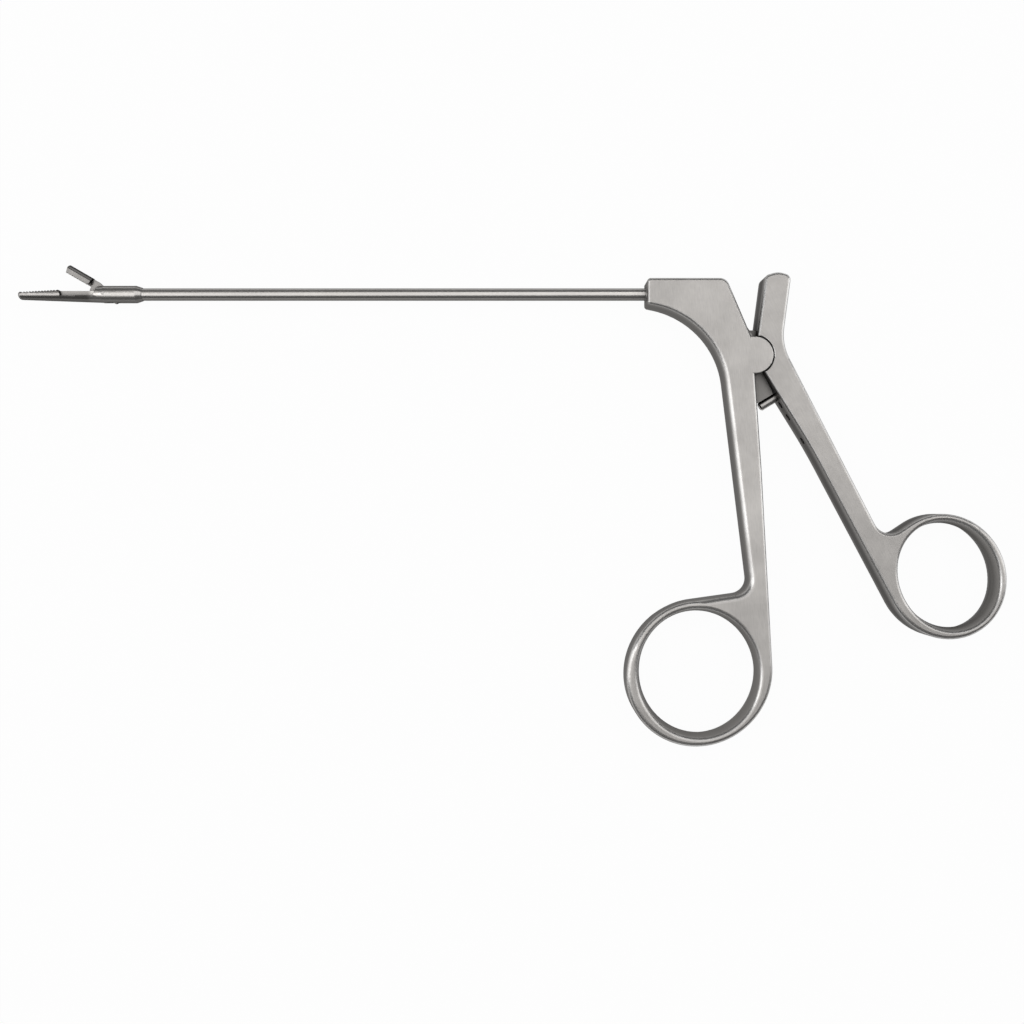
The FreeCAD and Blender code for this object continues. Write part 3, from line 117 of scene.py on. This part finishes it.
finishes = {
    "fixed_handle": dict(satin, bright=0.85, wearSheen=0.6, cornerShade=0.3, sideLift=0.12, sideShare=0.88,
                         sideShade=0.15),
    # The thumb handle is the same steel, with greys painted a shade darker than the fixed handle's.
    "thumb_handle": dict(satin, grainTurn=118, dark=0.36, light=0.515, bright=0.9, wearSheen=0.7,
                         sunkShare=0.6, sideLift=0.35, sideShare=0.92, sideShade=0.1),
    "outer_tube": dict(satin, grainTurn=90, grainLength=0.0016, grainWidth=0.00009, cloudSize=0.03,
                       dark=0.6, light=0.74, smoothest=0.2, roughest=0.27,
                       sideFrom=0.5, sideTo=0.96, sideShare=0.88, sideShade=0.1),
    "fixed_jaw": dict(satin, grainTurn=0, grainLength=0.0009, grainWidth=0.00006, cloudSize=0.004,
                      pitSize=0.00014, dark=0.56, light=0.7, smoothest=0.22, roughest=0.3,
                      dullTo=-0.1572, dullShare=0.9, dullShade=0.29, cornerShade=0.95, cornerShadeReach=0.001,
                      sideFrom=0.55, sideTo=0.97, sideShare=0.9, sideShade=0.09),
    "upper_jaw": dict(satin, grainTurn=-30, grainLength=0.0009, grainWidth=0.00006, cloudSize=0.004,
                      pitSize=0.00014, dark=0.25, light=0.37, smoothest=0.26, roughest=0.36,
                      cornerShade=0.95, cornerShadeReach=0.0012,
                      sideFrom=0.5, sideTo=0.93, sideShare=0.95, sideShade=0.05),
    "stop_peg": dict(satin, grainTurn=212, grainLength=0.001, grainWidth=0.00008,
                     dark=0.38, light=0.52, smoothest=0.24, roughest=0.34,
                     sideShare=0.15, sideTint=0.9, cornerShadeReach=0.001),
    "pins": dict(satin, grainTurn=0, grainLength=0.0006, grainWidth=0.00008,
                 dark=0.42, light=0.58, smoothest=0.24, roughest=0.36),
    "rods": dict(satin, grainTurn=0, grainLength=0.003, grainWidth=0.00006,
                 dark=0.36, light=0.5, smoothest=0.22, roughest=0.32),
}
# Turned brass has its own two colours in place of greys.
guideFinish = dict(finishes["pins"], dark=(0.62, 0.45, 0.2, 1), light=(0.8, 0.62, 0.33, 1))
wornBy = {
    "fixed_handle": ["fixed_handle", "handle_pivot_pin"],
    "pins": ["jaw_pivot_pin", "cam_pin", "crank_pin", "drawbar_pins"],
    "rods": ["pull_rod", "rod_head", "rod_end", "rod_lock_nut", "drawbar"],
    "guides": ["front_rod_guide", "middle_rod_guide", "rear_rod_guide"],
}
# Spans that all the metals share. Facing is 1 on a face that looks up or down and 0 on a side.
spans = {
    "edgeToFace": (0.86, 0.99), "sideToEdge": (0.3, 0.7), "flat": (0.995, 0.999),  # of facing
    "clouding": (0.34, 0.66), "wearSheenClouding": (0.35, 0.65), "gloss": (0.3, 0.7),  # of the noises
    "openness": (0.25, 0.95),  # of the occlusion, from a corner to the open
}
fades = {"toothedEnd": 0.001, "sunkFace": 0.0001}  # in metres
shares = {
    "leastWearSheen": 0.4,
    "grainGloss": 0.6, "pitGloss": 0.4, "wornGloss": 0.12,
    "liftFrom": 0.3,  # of the height from the middle plane, where the painted shade on the sides begins to lighten
}


def grey(value, warm=0.0):
    # A steel colour: a grey, with a little more red and less blue when warm.
    return (value * (1 + warm), value, value * (1 - warm), 1)


def shadeOf(look, key):
    # A finish gives a grey, or a whole colour where the metal is brass.
    return look[key] if isinstance(look[key], tuple) else grey(look[key], look["warm"])


def grindingMarks(w, coords, look):
    turn = w.add("Mapping", {"Vector": coords, "Rotation": (0, 0, math.radians(-look["grainTurn"]))})
    marks = (1 / look["grainLength"], 1 / look["grainWidth"], 1 / look["grainWidth"])
    stretch = w.add("Mapping", {"Vector": turn.outputs[0], "Scale": marks})
    return w.noise(stretch.outputs[0], 1.0, detail=4.0, roughness=0.62)


def edgeWearAndSheen(w, facing, cloud):
    # Handling has polished the rounded edges, and a painted highlight brightens them further: they lie
    # between the flat faces and the sides.
    edge = w.math("MULTIPLY", w.mapRange(facing, spans["edgeToFace"], 1.0, 0.0),
                  w.mapRange(facing, spans["sideToEdge"], 0.0, 1.0))
    return w.math("MULTIPLY", edge, w.mapRange(cloud, spans["wearSheenClouding"], shares["leastWearSheen"], 1.0))


def paintedSideShade(w, facing, height, look):
    # Painted shade on the sides: they are darker than the ground faces, and a little rougher too.
    sideShadeMask = w.mapRange(facing, (look["sideFrom"], look["sideTo"]), 1.0, 0.0)
    # The painted shade is lighter near both faces, and darkest halfway between them.
    depth = w.absolute(w.math("SUBTRACT", height, look["middle"]))
    ground = look["groundFrom"]
    lift = w.mapRange(depth, (ground * shares["liftFrom"], ground), 0.0, look["sideLift"])
    sideShadeMask = w.math("MULTIPLY", sideShadeMask, w.math("SUBTRACT", 1.0, lift))
    # Flat faces cut below the ground ones, such as the floors of slots, get the painted shade too.
    sunk = w.math("MULTIPLY", w.mapRange(depth, (ground - fades["sunkFace"], ground), 1.0, 0.0),
                  w.mapRange(facing, spans["flat"], 0.0, 1.0))
    return w.math("MAXIMUM", sideShadeMask, w.math("MULTIPLY", sunk, look["sunkShare"]))


def metal(name, look):
    # Ground metal: fine marks, slow clouding, edges brightened by wear and a painted highlight, painted shade
    # on the sides and in the corners.
    material = bpy.data.materials.new(name)
    material.use_nodes = True
    w = Wiring(material.node_tree)
    coords = w.add("TexCoord").outputs["Object"]
    place = w.add("SeparateXYZ", {0: coords}).outputs
    normal = w.add("NewGeometry").outputs["Normal"]
    facing = w.absolute(w.add("SeparateXYZ", {0: normal}).outputs["Z"])
    grain = grindingMarks(w, coords, look)
    cloud = w.noise(coords, 1 / look["cloudSize"], detail=5.0, roughness=0.6)
    pits = w.noise(coords, 1 / look["pitSize"], detail=2.0)
    wearSheenMask = edgeWearAndSheen(w, facing, cloud)
    sideShadeMask = paintedSideShade(w, facing, place["Z"], look)

    shading = w.math("ADD", w.math("MULTIPLY", grain, look["grainShare"]),
                     w.math("MULTIPLY", cloud, 1 - look["grainShare"]))
    colour = w.blend(w.mapRange(shading, spans["clouding"], 0.0, 1.0),
                     shadeOf(look, "dark"), shadeOf(look, "light"))
    # Rounded edges lightened by wear and by a painted highlight.
    colour = w.blend(w.math("MULTIPLY", wearSheenMask, look["wearSheen"]), colour, grey(look["bright"]))
    # The toothed end is darker.
    toothedEnd = (look["dullTo"] - fades["toothedEnd"], look["dullTo"])
    dull = w.mapRange(place["X"], toothedEnd, look["dullShare"], 0.0)
    colour = w.blend(dull, colour, shadeOf(look, "dullShade"))
    # Painted shade on the sides and on sunk faces.
    colour = w.blend(w.math("MULTIPLY", sideShadeMask, look["sideShare"]), colour, shadeOf(look, "sideShade"))
    # Painted shade in the corners, where the occlusion is close.
    around = w.add("AmbientOcclusion", {"Distance": look["cornerShadeReach"]}, samples=look["cornerShadeSamples"])
    shadow = w.mapRange(around.outputs["AO"], spans["openness"], 1 - look["cornerShade"], 1.0)
    colour = w.blend(1.0, colour, w.evenColour(shadow), "MULTIPLY")

    gloss = w.math("ADD", w.math("MULTIPLY", grain, shares["grainGloss"]),
                   w.math("MULTIPLY", pits, shares["pitGloss"]))
    rough = w.mapRange(gloss, spans["gloss"], look["smoothest"], look["roughest"])
    rough = w.math("SUBTRACT", rough, w.math("MULTIPLY", wearSheenMask, look["wearSheen"] * shares["wornGloss"]))
    rough = w.math("ADD", rough, w.math("MULTIPLY", sideShadeMask, look["sideRough"]))
    relief = w.math("ADD", w.math("MULTIPLY", grain, look["grainRelief"]),
                    w.math("MULTIPLY", pits, look["pitRelief"]))
    bump = w.add("Bump", {"Height": relief, "Strength": 1.0, "Distance": look["reliefDepth"]})
    # The painted side shade dims the reflections on the sides too.
    tint = w.blend(sideShadeMask, grey(1.0), grey(look["sideTint"]))
    shader = w.add("BsdfPrincipled", {"Base Color": colour, "Metallic": 1.0, "Roughness": rough,
                                      "Specular Tint": tint, "Normal": bump.outputs[0]})
    w.add("OutputMaterial", {"Surface": shader.outputs[0]})
    return material


def dress(nodes, material):
    for node in nodes:
        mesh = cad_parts[node].data
        mesh.materials.clear()
        mesh.materials.append(material)


for finish, look in finishes.items():
    dress(wornBy.get(finish, [finish]), metal(finish + "Metal", look))
dress(wornBy["guides"], metal("guideBrass", guideFinish))
print("stage: metals")


# Braze seams: a fine bead of filler where the shaft enters the handle and the jaw housing.
shaftAxis = {"height": 0.0149, "middle": 0.004, "radius": 0.00145}
seams = {
    "handleSeam": {"at": -0.0252, "bead": 0.00026},
    "housingSeam": {"at": -0.1455, "bead": 0.00016},
}
seamMesh = {"beadSides": 12, "steps": 96, "weld": 0.000001}
seamFinish = dict(satin, grainTurn=0, grainLength=0.0003, grainWidth=0.0002, cloudSize=0.001,
                  dark=0.3, light=0.44, smoothest=0.3, roughest=0.42, cornerShadeReach=0.0008)


def addSeam(name, look):
    bpy.ops.object.select_all(action="DESELECT")
    start = (look["at"], shaftAxis["height"] + shaftAxis["radius"], shaftAxis["middle"])
    bpy.ops.mesh.primitive_circle_add(vertices=seamMesh["beadSides"], radius=look["bead"], location=start)
    ring = bpy.context.object
    ring.name = name
    bpy.ops.object.mode_set(mode="EDIT")
    bpy.ops.mesh.select_all(action="SELECT")
    bpy.ops.mesh.spin(steps=seamMesh["steps"], angle=2 * math.pi, axis=(1, 0, 0),
                      center=(look["at"], shaftAxis["height"], shaftAxis["middle"]))
    bpy.ops.mesh.select_all(action="SELECT")
    bpy.ops.mesh.remove_doubles(threshold=seamMesh["weld"])
    bpy.ops.mesh.normals_make_consistent(inside=False)
    bpy.ops.object.mode_set(mode="OBJECT")
    bpy.ops.object.transform_apply(location=True, rotation=True, scale=True)
    bpy.ops.object.shade_smooth()
    ring.data.materials.append(metal(name + "Metal", seamFinish))
    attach(ring, "fixed_handle_body")


for name, look in seams.items():
    addSeam(name, look)
print("stage: braze seams")


# The floor looks white in the camera and in the steel, and still takes the shadow of the forceps.
floorLook = {
    "size": 3.0, "centre": (-0.06, -0.04), "under": 0.0002,
    "shade": 0.86, "whiteShare": 0.965,
    "fibreScale": 400.0, "fibreSpan": (0.3, 0.7), "fibreShade": 0.01,
}


def addFloor():
    bpy.ops.object.select_all(action="DESELECT")
    centreX, centreY = floorLook["centre"]
    bpy.ops.mesh.primitive_plane_add(size=floorLook["size"], location=(centreX, centreY, -floorLook["under"]))
    floor = bpy.context.object
    floor.name = "floor"
    material = bpy.data.materials.new("floorPaper")
    material.use_nodes = True
    w = Wiring(material.node_tree)
    fibre = w.noise(w.add("TexCoord").outputs["Object"], floorLook["fibreScale"], detail=3.0)
    tone = w.mapRange(fibre, floorLook["fibreSpan"], floorLook["shade"] - floorLook["fibreShade"],
                      floorLook["shade"] + floorLook["fibreShade"])
    paper = w.add("BsdfDiffuse", {"Color": w.evenColour(tone)})
    white = w.add("Emission", {"Color": (1, 1, 1, 1), "Strength": 1.0})
    path = w.add("LightPath").outputs
    direct = w.math("ADD", path["Is Camera Ray"], path["Is Glossy Ray"])
    straight = w.math("MINIMUM", w.math("ADD", direct, path["Is Transmission Ray"]), 1.0)
    seen = w.math("MULTIPLY", straight, floorLook["whiteShare"])
    both = w.add("MixShader", {0: seen, 1: paper.outputs[0], 2: white.outputs[0]})
    w.add("OutputMaterial", {"Surface": both.outputs[0]})
    floor.data.materials.append(material)


# The walls of the room are lighter low down, where the white floor lights them.
wallLook = {"shade": 0.14, "horizon": 0.5, "rise": (0.02, 0.16)}


def addWalls():
    world = bpy.data.worlds.new("studio")
    bpy.context.scene.world = world
    world.use_nodes = True
    w = Wiring(world.node_tree)
    level = w.add("SeparateXYZ", {0: w.add("TexCoord").outputs["Generated"]}).outputs["Z"]
    glow = w.mapRange(level, wallLook["rise"], wallLook["horizon"], wallLook["shade"])
    back = w.add("Background", {"Color": (1, 1, 1, 1), "Strength": glow})
    w.add("OutputWorld", {"Surface": back.outputs[0]})


# Soft lamps, all turned to one point in front of the handles. Power is in watts.
lampAim = Vector((-0.03, -0.02, 0.0))
lamps = {
    "overhead": {"place": (-0.06, 0.05, 0.8), "size": (1.3, 0.76), "power": 2.75},
    "back": {"place": (-0.05, 0.47, 0.68), "size": (1.2, 0.14), "power": 0.35},
    "left": {"place": (-0.78, -0.02, 0.47), "size": (0.5, 0.9), "power": 2.3},
    "right": {"place": (0.73, 0.1, 0.46), "size": (0.5, 0.9), "power": 1.9},
}


def addLamp(name, look):
    data = bpy.data.lights.new(name, "AREA")
    data.shape = "RECTANGLE"
    data.size, data.size_y = look["size"]
    data.energy = look["power"]
    lamp = bpy.data.objects.new(name, data)
    lamp.location = look["place"]
    lamp.rotation_euler = (Vector(look["place"]) - lampAim).to_track_quat("Z", "Y").to_euler()
    bpy.context.scene.collection.objects.link(lamp)


addFloor()
addWalls()
for name, look in lamps.items():
    addLamp(name, look)
bpy.context.scene.view_settings.view_transform = "Standard"
print("stage: floor and light")
